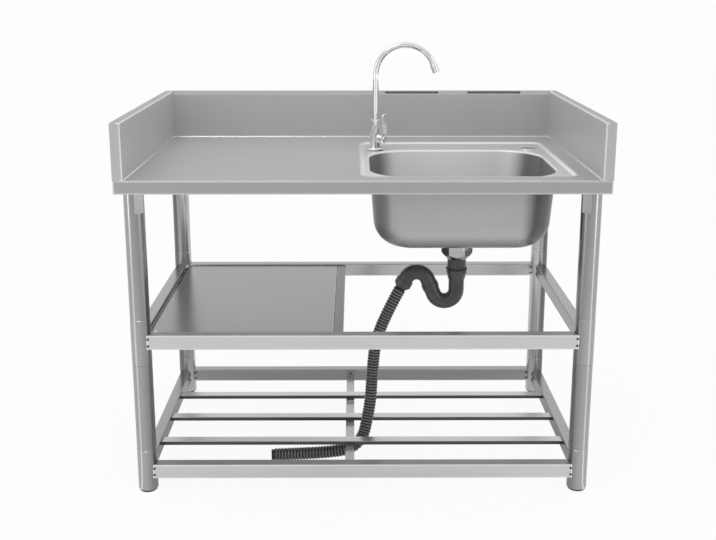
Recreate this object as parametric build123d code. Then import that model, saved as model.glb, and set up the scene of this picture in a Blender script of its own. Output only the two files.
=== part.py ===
"""Free-standing stainless steel sink table with a raised splash on three sides.

Millimetres. X runs to the right, Y to the back and Z up, seen by someone who stands in front of the table.
The origin is on the floor, under the middle of the worktop.
"""
from build123d import *
import math
import os

# ---------------------------------------------------------------- worktop
table_width = 1200.0
table_depth = 700.0
deck_height = 830.0
sheet = 1.0
apron_height = 33.0
apron_lip = 11.0
fold_radius = 2.0
corner_radius = 3.0
seam = 0.15
past = 1.0

# ---------------------------------------------------------------- splashes
splash_height = 140.0
splash_thickness = 25.0
splash_ledge = 3.0
splash_drop = 10.0
slot_length = 164.0
slot_width = 12.0
slot_spacing = 252.0
slot_pair_x = 280.0

# ---------------------------------------------------------------- stiffeners under the worktop
stiffener_width = 60.0
stiffener_height = 20.0
stiffener_spacing = 240.0
stiffener_pair_x = -270.0
beam_width = 23.0
beam_height = 24.0
beam_offset = 6.0
channel_inset = 60.0

# ---------------------------------------------------------------- sink
sink_sheet = 1.0
panel_length = 534.0
panel_width = 522.0
panel_corner = 30.0
panel_centre_x = 263.0
panel_front_inset = 52.0
recess_depth = 4.0
recess_rim = 2.0
recess_slope = 8.0
recess_front_slope = 4.0
bowl_length = 476.0
bowl_width = 390.0
bowl_depth = 199.0
bowl_corner = 110.0
bowl_draft = 4.5
bowl_bottom_radius = 68.0
bowl_lip_radius = 6.0
bowl_front_land = 14.0
bowl_centre_x = 257.0
drain_dish_radius = 60.0
drain_dish_depth = 5.0
drain_hole_radius = 40.0
fitting_hole_radius = 14.0
fitting_land = 36.9
fitting_bearing = 127.7

# ---------------------------------------------------------------- legs and shelf frames
leg_diameter = 50.0
leg_wall = 1.0
leg_inset_x = 40.0
leg_inset_y = 42.0
middle_rail_top = 430.0
lower_rail_top = 76.0
rail_height = 38.0
rail_thickness = 30.0
rail_wall = 1.0
rail_corner = 2.5
rail_offset = 4.0
connector_height = 120.0
connector_proud = 0.4
connector_chamfer = 1.0
spigot_length = 35.0
spigot_clearance = 0.2
connector_wall = 2.5
lug_length = 40.0
lug_clearance = 0.25
cope_clearance = 0.3
socket_depth = 28.0
socket_wall = 2.6
socket_clearance = 0.3
tab_length = 56.0
tab_width = 23.0
tab_thickness = 2.5
tab_bearing = 37.0

# ---------------------------------------------------------------- frame screws
screw_radius = 1.7
screw_length = 11.0
screw_head_radius = 3.0
screw_head_height = 1.6
screw_clearance = 0.15
screw_pair_spacing = 18.0
screw_edge = 0.8

# ---------------------------------------------------------------- shelves
shelf_drop = 4.0
shelf_sheet = 1.0
shelf_flange = 16.0
shelf_side_gap = 5.0
shelf_end_gap = 1.0
shelf_notch = 18.0
shelf_tab_length = 30.0
shelf_tab_reach = 5.0
shelf_tab_spacing = 300.0
shelf_tab_drop = 8.0
cross_bar_width = 25.0
cross_bar_height = 20.0
cross_bar_x = -62.0
slot_clearance = 0.3
slat_count = 3
slat_width = 30.0
slat_height = 10.0
slat_drop = 8.0
slat_shift = -18.0
slat_reach = 6.0
tie_bar_width = 24.0
tie_bar_thickness = 2.0
tie_bar_x = -34.0
tie_bar_dip = 4.0
tie_bar_slope = 10.0
tie_bar_seat = 52.0
tie_tab_height = 20.0
tie_screw_height = 12.0

# ---------------------------------------------------------------- levelling feet
foot_radius = 23.0
foot_height = 6.0
foot_edge = 2.0
foot_stem_radius = 5.0
foot_stem_length = 34.0
foot_thread_clearance = 0.05
foot_insert_height = 18.0
foot_insert_radius = 23.5
insert_clearance = 0.05
foot_gap = 0.3

# ---------------------------------------------------------------- tap
tap_base_radius = 25.0
tap_base_height = 6.0
tap_body_radius = 16.0
tap_body_height = 60.0
tap_washer = 1.5
tap_washer_inset = 1.0
valve_height = 32.0
valve_bearing = -45.0
valve_barrel_radius = 12.0
valve_barrel_reach = 24.0
bonnet_radius = 10.5
bonnet_length = 5.0
bonnet_edge = 0.8
spindle_radius = 4.0
spindle_length = 6.0
running_clearance = 0.05
lever_hub_radius = 10.0
lever_hub_length = 9.0
lever_width = 17.0
lever_thickness = 5.0
lever_length = 72.0
lever_edge = 1.5
spout_radius = 8.5
spout_wall = 1.0
spout_bend_radius = 83.5
spout_bend_turn = 158.0
spout_riser_height = 214.0
spout_tip = 10.0
spout_socket_depth = 18.0
collar_radius = 13.5
collar_height = 20.0
collar_edge = 1.5
aerator_radius = 10.5
aerator_length = 24.0
aerator_overlap = 8.0
aerator_edge = 1.0
mesh_recess = 2.0
mesh_thickness = 6.0
mesh_hole_radius = 1.1
mesh_hole_circle = 4.2
mesh_hole_count = 6
shank_radius = 10.5
shank_length = 24.0
inlet_radius = 10.2
inlet_length = 30.0
under_washer_radius = 20.0
under_washer_height = 3.0
tap_nut_radius = 17.0
tap_nut_height = 9.0
cap_radius = 22.0
cap_height = 4.0
cap_edge = 2.4
cap_stem_radius = 6.0
cap_stem_length = 26.0

# ---------------------------------------------------------------- drain
gasket_thickness = 1.5
flange_radius = 57.0
flange_thickness = 1.5
strainer_radius = 38.0
strainer_depth = 24.0
strainer_wall = 1.2
strainer_hole_radius = 6.0
strainer_hole_count = 6
strainer_hole_circle = 22.0
basket_rim_radius = 44.0
basket_radius = 35.5
basket_depth = 19.0
basket_hole_radius = 2.0
basket_hole_count = 12
basket_hole_circle = 25.0
basket_knob_radius = 6.0
basket_knob_height = 22.0
basket_knob_edge = 2.0
seat_gap = 0.25
cup_rim_radius = 52.0
cup_rim_thickness = 2.0
cup_wall = 1.4
cup_clearance = 0.6
cup_straight = 26.0
cup_hex_radius = 42.0
cup_hex_height = 14.0
cup_hex_turn = -6.0
cup_hex_bore = 33.5
cup_taper = 17.0
cup_neck_radius = 27.0
outlet_radius = 20.0
outlet_wall = 2.0
outlet_length = 30.0
spider_arm = 5.0
spider_height = 6.0
clamp_screw_radius = 3.0
clamp_head_radius = 6.0
clamp_head_height = 2.5
clamp_head_edge = 1.0
drain_nut_radius = 25.0
drain_nut_height = 27.0
grip_groove_radius = 1.4
grip_groove_offset = 0.4
grip_groove_count = 16
grip_groove_margin = 3.0
ring_radius = 28.5
ring_height = 3.0
slip_nut_radius = 27.5
slip_nut_foot_radius = 23.0
slip_nut_height = 27.0
nut_clearance = 0.3

# ---------------------------------------------------------------- trap and hose
trap_radius = 21.0
trap_wall = 2.5
trap_bend_radius = 32.0
trap_inlet_length = 59.5
trap_bend_turn = 158.0
trap_middle_length = 45.9
trap_joint = 31.0
trap_socket_depth = 12.0
trap_socket_wall = 2.0
trap_crest_turn = 130.0
trap_outlet_length = 12.0
hose_nut_radius = 23.5
hose_nut_height = 10.0
hose_nut_cone = 8.0
hose_crest_radius = 17.0
hose_valley_radius = 15.0
hose_bore_radius = 13.0
hose_rib_pitch = 8.5
hose_cuff = 6.0
hose_slope_share = 0.2
hose_crest_share = 0.4
hose_bend_share = 0.45

# The hose route, from the trap's nut down between the slats and along the floor to its bare end.
hose_route = [
    (106.08, -89.0, 479.78),
    (77.02, -89.0, 425.12),
    (37.0, -88.0, 328.0),
    (28.0, -88.0, 226.0),
    (24.0, -91.0, 148.0),
    (14.0, -97.0, 92.0),
    (3.0, -107.0, 44.0),
    (-32.0, -128.0, 17.3),
    (-106.0, -147.0, 17.3),
    (-180.0, -154.0, 17.3),
    (-251.0, -160.0, 17.3),
]

# ---------------------------------------------------------------- derived places
front_y = -table_depth / 2
back_y = table_depth / 2
side_x = table_width / 2
leg_radius = leg_diameter / 2
leg_x = side_x - leg_inset_x
leg_y = back_y - leg_inset_y
under_deck = deck_height - sheet
apron_bottom = deck_height - apron_height
splash_inner_y = back_y - splash_thickness
splash_top = deck_height + splash_height
slope_y = back_y - splash_ledge

panel_centre_y = front_y + panel_front_inset + panel_width / 2
panel_floor = deck_height - recess_depth
bowl_centre_y = front_y + panel_front_inset + bowl_front_land + bowl_width / 2
bowl_floor = panel_floor - bowl_depth
drain_seat = bowl_floor - drain_dish_depth

connector_radius = leg_radius + connector_proud
spigot_radius = leg_radius - leg_wall - spigot_clearance
rail_inner_x = leg_x + rail_offset - rail_thickness / 2
rail_inner_y = leg_y + rail_offset - rail_thickness / 2
rail_centre_x = leg_x + rail_offset
rail_centre_y = leg_y + rail_offset
middle_rail_z = middle_rail_top - rail_height / 2
lower_rail_z = lower_rail_top - rail_height / 2
middle_connector_top = middle_rail_z + connector_height / 2
middle_connector_bottom = middle_rail_z - connector_height / 2
lower_connector_top = lower_rail_z + connector_height / 2
lower_connector_bottom = foot_height + foot_gap
leg_top = under_deck - socket_wall - seam
shelf_top = middle_rail_top - shelf_drop
cross_bar_left = cross_bar_x - cross_bar_width / 2
slat_top = lower_rail_top - slat_drop
slat_bottom = slat_top - slat_height
slat_pitch = 2 * rail_inner_y / (slat_count + 1)
slat_places = [slat_shift - rail_inner_y + (index + 1) * slat_pitch for index in range(slat_count)]

sides = {"left": -1, "right": 1}
rows = {"front": -1, "back": 1}
corners = {f"{row}_{side}": (sx, sy) for row, sy in rows.items() for side, sx in sides.items()}


def block(x0, x1, y0, y1, z0, z1):
    """A box between two corners."""
    centre = Pos((x0 + x1) / 2, (y0 + y1) / 2, (z0 + z1) / 2)
    return centre * Box(abs(x1 - x0), abs(y1 - y0), abs(z1 - z0))


def rod(x, y, z0, z1, radius):
    """An upright cylinder between two heights."""
    return Pos(x, y, (z0 + z1) / 2) * Cylinder(radius, abs(z1 - z0))


def turned(profile, x, y):
    """A ring of the (radius, height) profile about the upright axis at x, y."""
    face = make_face(Plane.XZ * Polyline(*profile, close=True))
    return Pos(x, y, 0) * revolve(face, Axis.Z)


def save(node, *solids):
    """Write the solids of one node as one STEP file."""
    shape = solids[0] if len(solids) == 1 else Compound(children=[Part() + solid for solid in solids])
    export_step(shape, f"parts/{node}.step")


# ================================================================ worktop
def panel_sketch(grow):
    outline = RectangleRounded(panel_length + 2 * grow, panel_width + 2 * grow, panel_corner + grow)
    return Pos(panel_centre_x, panel_centre_y) * outline


def worktop():
    """The folded deck with its apron, its bottom lip and the cut-out for the sink."""
    outer = block(-side_x, side_x, front_y, back_y, apron_bottom, deck_height)
    outer = fillet(outer.edges().filter_by(Axis.Z), corner_radius)
    outer = fillet(outer.edges().group_by(Axis.Z)[-1], fold_radius)
    inside_x = side_x - sheet
    inside_y = back_y - sheet
    hollow = block(-inside_x, inside_x, -inside_y, inside_y, apron_bottom + sheet, under_deck)
    mouth_x = side_x - apron_lip
    mouth_y = back_y - apron_lip
    mouth = block(-mouth_x, mouth_x, -mouth_y, mouth_y, apron_bottom - past, apron_bottom + sheet + past)
    cut_out = Pos(0, 0, under_deck - past) * extrude(panel_sketch(seam), sheet + 2 * past)
    return outer - hollow - mouth - cut_out


def splash_outside(x0, x1, y0, y1):
    """The outer form of one folded splash."""
    outer = block(x0, x1, y0, y1, deck_height, splash_top)
    return fillet(outer.edges().group_by(Axis.Z)[-1], fold_radius)


def splash_inside(x0, x1, y0, y1):
    """The hollow of one folded splash, a sheet smaller and open underneath."""
    return block(x0 + sheet, x1 - sheet, y0 + sheet, y1 - sheet, deck_height - past, splash_top - sheet)


def splash_wedge(lower, longer):
    """What the slope takes off the back splash, lowered by the sheet and longer at both ends for the hollow."""
    fall = splash_drop / (slope_y - splash_inner_y)
    corner_z = splash_top - lower
    line = [
        (slope_y + past / fall, corner_z + past),
        (splash_inner_y - past, corner_z - splash_drop - past * fall),
        (splash_inner_y - past, splash_top + past),
        (slope_y + past / fall, splash_top + past),
    ]
    face = make_face(Plane.YZ * Polyline(*line, close=True))
    reach = side_x - splash_thickness + longer
    return Pos(-reach, 0, 0) * extrude(face, 2 * reach, dir=(1, 0, 0))


def back_splash():
    """The long splash: its top slopes to the front between the side splashes, and has two slots."""
    extent = (-side_x, side_x, splash_inner_y, back_y)
    outer = splash_outside(*extent) - splash_wedge(0, 0)
    lower = sheet * math.hypot(1, splash_drop / (slope_y - splash_inner_y))
    wall = outer - (splash_inside(*extent) - splash_wedge(lower, sheet))
    slot_y = (splash_inner_y + slope_y) / 2
    slot_z = splash_top - splash_drop - 2 * sheet
    for side in (-1, 1):
        slot_x = slot_pair_x + side * slot_spacing / 2
        slot = SlotOverall(slot_length, slot_width)
        wall -= Pos(slot_x, slot_y, slot_z) * extrude(slot, splash_drop + 3 * sheet)
    return wall


def side_splash(side):
    edges = sorted((side * side_x, side * (side_x - splash_thickness)))
    extent = (edges[0], edges[1], front_y, splash_inner_y)
    return splash_outside(*extent) - splash_inside(*extent)


def channel(x0, x1, y0, y1, height):
    """A folded channel, open at the top, welded under the deck."""
    outer = block(x0, x1, y0, y1, under_deck - height, under_deck)
    return outer - block(x0 + sheet, x1 - sheet, y0 + sheet, y1 - sheet, under_deck - height + sheet, deck_height)


def deck_beam(row):
    reach = leg_x - leg_radius - socket_wall - socket_clearance - seam
    centre = row * (leg_y + beam_offset)
    return channel(-reach, reach, centre - beam_width / 2, centre + beam_width / 2, beam_height)


def drainboard_stiffener(side):
    centre = stiffener_pair_x + side * stiffener_spacing / 2
    reach = back_y - channel_inset
    return channel(centre - stiffener_width / 2, centre + stiffener_width / 2, -reach, reach, stiffener_height)


# ================================================================ sink
def bowl_outline(grow):
    return RectangleRounded(bowl_length + 2 * grow, bowl_width + 2 * grow, bowl_corner + grow)


def bowl_form(grow):
    """The bowl's volume below the panel's floor, grown by a sheet thickness."""
    form = extrude(bowl_outline(grow), -(bowl_depth + grow), taper=bowl_draft)
    form = fillet(form.edges().group_by(Axis.Z)[0], bowl_bottom_radius + grow)
    return Pos(bowl_centre_x, bowl_centre_y, panel_floor) * form


def bowl_mouth_edges(solid, grow, level):
    """The edges of a solid that run round the bowl's mouth at one level."""
    mouth = Pos(bowl_centre_x, bowl_centre_y, level) * bowl_outline(grow).wire()
    return [edge for edge in solid.edges() if mouth.distance_to(edge @ 0.5) < sink_sheet / 4]


def fitting_place(side):
    """The hole behind a back corner of the bowl: the tap's on the left, the blanked one on the right."""
    bearing = math.radians(fitting_bearing)
    reach = bowl_corner + fitting_land
    corner_x = bowl_length / 2 - bowl_corner
    corner_y = bowl_width / 2 - bowl_corner
    x = bowl_centre_x + side * (corner_x - reach * math.cos(bearing))
    y = bowl_centre_y + corner_y + reach * math.sin(bearing)
    return x, y


def sink():
    """The pressed panel and bowl, one sheet thick."""
    panel_back = panel_floor - sink_sheet
    outside = Pos(0, 0, panel_back) * extrude(panel_sketch(0), deck_height - panel_back)
    outside += bowl_form(sink_sheet)
    outside = fillet(bowl_mouth_edges(outside, sink_sheet, panel_back), bowl_lip_radius - sink_sheet)
    outside += rod(bowl_centre_x, bowl_centre_y, drain_seat - sink_sheet, bowl_floor, drain_dish_radius + sink_sheet)

    slopes_y = recess_slope + recess_front_slope
    base_width = panel_width - 2 * recess_rim - slopes_y
    base = RectangleRounded(panel_length - 2 * recess_rim - 2 * recess_slope, base_width, panel_corner - recess_slope)
    base_y = panel_centre_y + recess_front_slope - slopes_y / 2
    rim = Pos(0, 0, deck_height) * panel_sketch(-recess_rim)
    inside = loft([Pos(panel_centre_x, base_y, panel_floor) * base, rim])
    inside += bowl_form(0)
    inside = fillet(bowl_mouth_edges(inside, 0, panel_floor), bowl_lip_radius)
    inside += rod(bowl_centre_x, bowl_centre_y, drain_seat, bowl_floor + past, drain_dish_radius)

    shell = outside - inside
    shell -= rod(bowl_centre_x, bowl_centre_y, drain_seat - sink_sheet - past, drain_seat + past, drain_hole_radius)
    for side in (-1, 1):
        x, y = fitting_place(side)
        shell -= rod(x, y, panel_back - past, panel_floor + past, fitting_hole_radius)
    return shell


def blanking_cap():
    x, y = fitting_place(1)
    dome = rod(x, y, panel_floor, panel_floor + cap_height, cap_radius)
    dome = fillet(dome.edges().group_by(Axis.Z)[-1], cap_edge)
    return dome + rod(x, y, panel_floor - cap_stem_length, panel_floor, cap_stem_radius)


def blanking_nut():
    x, y = fitting_place(1)
    top = panel_floor - sink_sheet
    nut = rod(x, y, top - tap_nut_height, top, tap_nut_radius)
    return nut - rod(x, y, top - tap_nut_height - past, top + past, cap_stem_radius + nut_clearance)


# ================================================================ legs
def leg_tube(sx, sy, z0, z1):
    x = sx * leg_x
    y = sy * leg_y
    return rod(x, y, z0, z1, leg_radius) - rod(x, y, z0 - past, z1 + past, leg_radius - leg_wall)


def leg_socket(sx, sy):
    """The cup under the deck that holds a leg, with the flat tab that hangs from its rim."""
    x = sx * leg_x
    y = sy * leg_y
    inner = leg_radius + socket_clearance
    outer = inner + socket_wall
    bottom = under_deck - socket_depth
    cup = rod(x, y, bottom, under_deck, outer) - rod(x, y, bottom - past, under_deck - socket_wall, inner)
    tab_top = bottom + past
    tab = block(-tab_width / 2, tab_width / 2, inner, inner + tab_thickness, tab_top - tab_length, tab_top)
    facing = 180 if sy < 0 else 0
    return cup + Pos(x, y, 0) * Rot(0, 0, facing + sx * sy * tab_bearing) * tab


def lug(length):
    """The hollow tongue inside a rail's end, along +X from the leg's axis."""
    inset = 2 * (rail_wall + lug_clearance)
    outer = RectangleRounded(rail_thickness - inset, rail_height - inset, rail_corner - rail_wall)
    inset += 2 * connector_wall
    inner = Rectangle(rail_thickness - inset, rail_height - inset)
    return extrude(Plane.YZ * (outer - inner), length)


def rail_ends(sx, sy, rail_z):
    """A corner's two rail ends, each with +X along the rail from the leg and the way its screw heads face.

    The heads of the long rails face the front, and those of the short rails face inwards.
    """
    long_end = Plane(origin=(sx * leg_x, sy * rail_centre_y, rail_z), x_dir=(-sx, 0, 0), z_dir=(0, 0, 1))
    short_end = Plane(origin=(sx * rail_centre_x, sy * leg_y, rail_z), x_dir=(0, -sy, 0), z_dir=(0, 0, 1))
    return (long_end, Vector(0, -1, 0), sy < 0), (short_end, Vector(-sx, 0, 0), False)


def screw_seats(end, heads_face, outwards):
    """Where the two screws of a rail end meet the rail's face, just clear of the leg, as planes along them."""
    face = rail_thickness / 2 + (rail_offset if outwards else -rail_offset)
    cope = connector_radius + cope_clearance
    reach = math.sqrt(cope ** 2 - face ** 2) + screw_head_radius + screw_edge
    seats = []
    for step in (-1, 1):
        centre = end.from_local_coords(Vector(reach, 0, step * screw_pair_spacing / 2))
        seats.append(Plane(origin=centre + heads_face * (rail_thickness / 2), z_dir=heads_face))
    return seats


def drilled(solid, end):
    """A solid with the holes for one rail end's screws."""
    depth = screw_length + past
    for seat in screw_seats(*end):
        solid -= seat * Pos(0, 0, past - depth / 2) * Cylinder(screw_radius + screw_clearance, depth)
    return solid


def connector(sx, sy, rail_z, bottom, top, lower):
    """The sleeve that joins two leg tubes and carries two rails on its lugs."""
    x = sx * leg_x
    y = sy * leg_y
    body = rod(x, y, bottom, top, connector_radius)
    body = chamfer(body.edges(), connector_chamfer)
    body += rod(x, y, top - past, top + spigot_length, spigot_radius)
    if not lower:
        body += rod(x, y, bottom - spigot_length, bottom + past, spigot_radius)
    ends = rail_ends(sx, sy, rail_z)
    for end in ends:
        body += end[0] * lug(connector_radius + lug_length)
    body -= rod(x, y, bottom - spigot_length - past, top + spigot_length + past, spigot_radius - connector_wall)
    if lower:
        body -= rod(x, y, bottom - past, bottom + foot_insert_height, foot_insert_radius + insert_clearance)
    for end in ends:
        body = drilled(body, end)
    return body


def rail_tube(length):
    """A rail as a closed box section along X."""
    outer = RectangleRounded(rail_thickness, rail_height, rail_corner)
    inner = RectangleRounded(rail_thickness - 2 * rail_wall, rail_height - 2 * rail_wall, rail_corner - rail_wall)
    return Plane.YZ * extrude(outer - inner, length / 2, both=True)


def coped(rail, ends, rail_z):
    """A rail with its ends cut round the legs and drilled for the screws."""
    for sx, sy, index in ends:
        rail -= Pos(sx * leg_x, sy * leg_y, rail_z) * Cylinder(connector_radius + cope_clearance, 2 * rail_height)
        rail = drilled(rail, rail_ends(sx, sy, rail_z)[index])
    return rail


def long_rail(sy, rail_z):
    rail = Pos(0, sy * rail_centre_y, rail_z) * rail_tube(2 * leg_x)
    return coped(rail, [(-1, sy, 0), (1, sy, 0)], rail_z)


def short_rail(sx, rail_z):
    rail = Pos(sx * rail_centre_x, 0, rail_z) * Rot(0, 0, 90) * rail_tube(2 * leg_y)
    return coped(rail, [(sx, -1, 1), (sx, 1, 1)], rail_z)


def screw():
    """One screw, its head above the XY plane and its shank below."""
    head = Pos(0, 0, screw_head_height / 2) * Cylinder(screw_head_radius, screw_head_height)
    return head + Pos(0, 0, -screw_length / 2) * Cylinder(screw_radius, screw_length)


def frame_screws(rail_z):
    screws = []
    for sx, sy in corners.values():
        for end in rail_ends(sx, sy, rail_z):
            screws += [seat * screw() for seat in screw_seats(*end)]
    return screws


# ================================================================ shelves
def slot_in_rail(x0, x1, y0, y1, z0, z1):
    """A slot that clears what passes through a rail's wall."""
    gap = slot_clearance
    return block(x0 - gap, x1 + gap, y0 - gap, y1 + gap, z0 - gap, z1 + gap)


def shelf_tabs():
    """Corners of the shelf panel's four tabs, which reach into the long rails."""
    left = -rail_inner_x + shelf_side_gap
    right = cross_bar_left - seam
    centre = (left + right) / 2
    boxes = []
    for sy in rows.values():
        for step in (-1, 1):
            x = centre + step * shelf_tab_spacing / 2
            inner = sy * (rail_inner_y - shelf_end_gap - shelf_sheet)
            outer = sy * (rail_inner_y + shelf_tab_reach)
            z = shelf_top - shelf_tab_drop
            y0, y1 = sorted((inner, outer))
            boxes.append((x - shelf_tab_length / 2, x + shelf_tab_length / 2, y0, y1, z - shelf_sheet, z))
    return boxes


def shelf_panel():
    """A shallow tray, folded down on four sides, with two tabs at each end."""
    left = -rail_inner_x + shelf_side_gap
    right = cross_bar_left - seam
    reach = rail_inner_y - shelf_end_gap
    outer = block(left, right, -reach, reach, shelf_top - shelf_flange, shelf_top)
    outer = fillet(outer.edges().group_by(Axis.Z)[-1], fold_radius)
    inner = block(left + shelf_sheet, right - shelf_sheet, shelf_sheet - reach, reach - shelf_sheet,
                  shelf_top - shelf_flange - past, shelf_top - shelf_sheet)
    panel = outer - inner
    for sy in rows.values():
        y0, y1 = sorted((sy * reach + sy, sy * (reach - shelf_notch)))
        panel -= block(left - past, left + shelf_notch, y0, y1, shelf_top - shelf_flange - past, shelf_top + past)
    for corners_of_tab in shelf_tabs():
        panel += block(*corners_of_tab)
    return panel


def cross_bar_box():
    reach = rail_inner_y + shelf_tab_reach
    right = cross_bar_left + cross_bar_width
    return cross_bar_left, right, -reach, reach, shelf_top - cross_bar_height, shelf_top


def cross_bar():
    """An upturned channel between the long rails, its ends in their slots."""
    x0, x1, y0, y1, z0, z1 = cross_bar_box()
    outer = block(x0, x1, y0, y1, z0, z1)
    outer = fillet(outer.edges().filter_by(Axis.Y).group_by(Axis.Z)[-1], fold_radius)
    return outer - block(x0 + sheet, x1 - sheet, y0 - past, y1 + past, z0 - past, z1 - sheet)


def slat_box(y):
    reach = rail_inner_x + slat_reach
    return -reach, reach, y - slat_width / 2, y + slat_width / 2, slat_bottom, slat_top


def slat(y):
    """An upturned channel from side rail to side rail, its ends in their slots."""
    x0, x1, y0, y1, z0, z1 = slat_box(y)
    outer = block(x0, x1, y0, y1, z0, z1)
    outer = fillet(outer.edges().filter_by(Axis.X).group_by(Axis.Z)[-1], fold_radius)
    return outer - block(x0 - past, x1 + past, y0 + sheet, y1 - sheet, z0 - past, z1 - sheet)


def slotted_long_rail(sy):
    rail = long_rail(sy, middle_rail_z)
    for corners_of_tab in shelf_tabs():
        rail -= slot_in_rail(*corners_of_tab)
    return rail - slot_in_rail(*cross_bar_box())


def slotted_short_rail(sx):
    rail = short_rail(sx, lower_rail_z)
    for y in slat_places:
        rail -= slot_in_rail(*slat_box(y))
    return rail


def tie_bar():
    """The strip under the slats: seated against each one, dipping between them, turned up at both ends."""
    high = slat_bottom - tie_bar_thickness
    low = high - tie_bar_dip
    reach = rail_inner_y - seam
    line = [(-reach, low)]
    half = tie_bar_seat / 2
    for y in slat_places:
        line.append((y - half - tie_bar_slope, low))
        line.append((y - half, high))
        line.append((y + half, high))
        line.append((y + half + tie_bar_slope, low))
    line.append((reach, low))
    above = [(y, z + tie_bar_thickness) for y, z in reversed(line)]
    strip = extrude(make_face(Plane.YZ * Polyline(*line, *above, close=True)), tie_bar_width / 2, both=True)
    for sy in rows.values():
        y0, y1 = sorted((sy * reach, sy * (reach - tie_bar_thickness)))
        strip += block(-tie_bar_width / 2, tie_bar_width / 2, y0, y1, low, low + tie_tab_height)
    strip = Pos(tie_bar_x, 0, 0) * strip
    for sy in rows.values():
        strip = tie_drilled(strip, sy)
    return strip


def tie_screw_seat(sy):
    """Where the screw through one of the strip's end tabs meets the tab."""
    z = slat_bottom - tie_bar_thickness - tie_bar_dip + tie_screw_height
    face = sy * (rail_inner_y - seam - tie_bar_thickness)
    return Plane(origin=(tie_bar_x, face, z), z_dir=(0, -sy, 0))


def tie_drilled(solid, sy):
    return solid - tie_screw_seat(sy) * Cylinder(screw_radius + screw_clearance, 2 * screw_length)


def drilled_lower_rail(sy):
    return tie_drilled(long_rail(sy, lower_rail_z), sy)


# ================================================================ feet
def foot_insert(sx, sy):
    """The plug in a leg's lower end, threaded for the foot."""
    x = sx * leg_x
    y = sy * leg_y
    bottom = lower_connector_bottom
    plug = rod(x, y, bottom, bottom + foot_insert_height, foot_insert_radius)
    stem_bore = foot_stem_radius + foot_thread_clearance
    return plug - rod(x, y, bottom - past, bottom + foot_insert_height + past, stem_bore)


def foot(sx, sy):
    x = sx * leg_x
    y = sy * leg_y
    pad = rod(x, y, 0, foot_height, foot_radius)
    pad = chamfer(pad.edges().group_by(Axis.Z)[0], foot_edge)
    return pad + rod(x, y, foot_height - past, foot_stem_length, foot_stem_radius)


# ================================================================ tap
tap_x, tap_y = fitting_place(-1)
tap_foot = panel_floor + tap_washer
tap_top = tap_foot + tap_base_height + tap_body_height
spout_foot = tap_top - spout_socket_depth
valve_z = tap_foot + valve_height
valve_frame = Plane(origin=(tap_x, tap_y, valve_z), x_dir=(0, 0, 1), z_dir=Vector(1, 0, 0).rotate(Axis.Z, valve_bearing))


def on_valve(start, length, radius):
    """A cylinder along the valve's axis, from a distance in front of the tap's own axis."""
    return valve_frame * Pos(0, 0, start + length / 2) * Cylinder(radius, length)


def tap_body():
    body = rod(tap_x, tap_y, tap_foot, tap_foot + tap_base_height, tap_base_radius)
    body = fillet(body.edges().group_by(Axis.Z)[-1], tap_base_height / 2)
    body += rod(tap_x, tap_y, tap_foot, tap_top, tap_body_radius)
    body += on_valve(0, valve_barrel_reach, valve_barrel_radius)
    body -= rod(tap_x, tap_y, spout_foot, tap_top + past, spout_radius + running_clearance)
    return body


def tap_collar():
    top = tap_top + collar_height
    collar = rod(tap_x, tap_y, tap_top, top, collar_radius)
    collar = chamfer(collar.edges().group_by(Axis.Z)[-1], collar_edge)
    return collar - rod(tap_x, tap_y, tap_top - past, top + past, spout_radius + running_clearance)


def bonnet():
    """The ring at the valve's mouth, with the spindle that carries the lever."""
    ring = on_valve(valve_barrel_reach, bonnet_length, bonnet_radius)
    ring = chamfer(ring.edges(), bonnet_edge)
    return ring + on_valve(valve_barrel_reach, bonnet_length + foot_gap + spindle_length, spindle_radius)


def lever():
    """The hub on the valve and the upright paddle."""
    start = valve_barrel_reach + bonnet_length + foot_gap
    hub = on_valve(start, lever_hub_length, lever_hub_radius)
    hub = fillet(hub.edges(), lever_edge)
    paddle = SlotOverall(lever_length + lever_width / 2, lever_width)
    paddle = extrude(paddle, lever_thickness)
    middle = (lever_length - lever_width / 2) / 2
    paddle = fillet(paddle.edges(), lever_edge)
    solid = hub + valve_frame * Pos(middle, 0, start + (lever_hub_length - lever_thickness) / 2) * paddle
    return solid - on_valve(start - 1, spindle_length + foot_gap + 1, spindle_radius + running_clearance)


def spout_path(start):
    """The spout's line in its own upright plane, from a height over the panel to its tip."""
    riser = Line((0, start), (0, spout_riser_height))
    bend = CenterArc((spout_bend_radius, spout_riser_height), spout_bend_radius, 180, -spout_bend_turn)
    end = Line(bend @ 1, (bend @ 1) + (bend % 1) * spout_tip)
    return Plane.XZ * (riser + bend + end)


def spout():
    low = spout_foot + seat_gap - panel_floor
    section = Pos(0, 0, low) * (Circle(spout_radius) - Circle(spout_radius - spout_wall))
    return Pos(tap_x, tap_y, panel_floor) * sweep(section, path=spout_path(low))


def spout_end():
    """The frame at the spout's mouth, looking along the water."""
    path = Pos(tap_x, tap_y, panel_floor) * spout_path(0)
    return Plane(origin=path @ 1, z_dir=path % 1)


def aerator():
    """The mouthpiece that is screwed over the spout's end."""
    start = -aerator_overlap
    shell = Pos(0, 0, start + aerator_length / 2) * Cylinder(aerator_radius, aerator_length)
    shell = fillet(shell.edges(), aerator_edge)
    shell -= Pos(0, 0, start / 2) * Cylinder(spout_radius + nut_clearance / 2, aerator_overlap)
    shell -= Pos(0, 0, aerator_length / 2) * Cylinder(spout_radius - spout_wall, aerator_length + aerator_overlap)
    return spout_end() * shell


def aerator_mesh():
    """The perforated insert inside the mouthpiece."""
    end = aerator_length - aerator_overlap - mesh_recess
    disc = Pos(0, 0, end - mesh_thickness / 2) * Cylinder(spout_radius - spout_wall - seam, mesh_thickness)
    for location in PolarLocations(mesh_hole_circle, mesh_hole_count).locations + [Location()]:
        disc -= location * Pos(0, 0, end) * Cylinder(mesh_hole_radius, 3 * mesh_thickness)
    return spout_end() * disc


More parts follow.
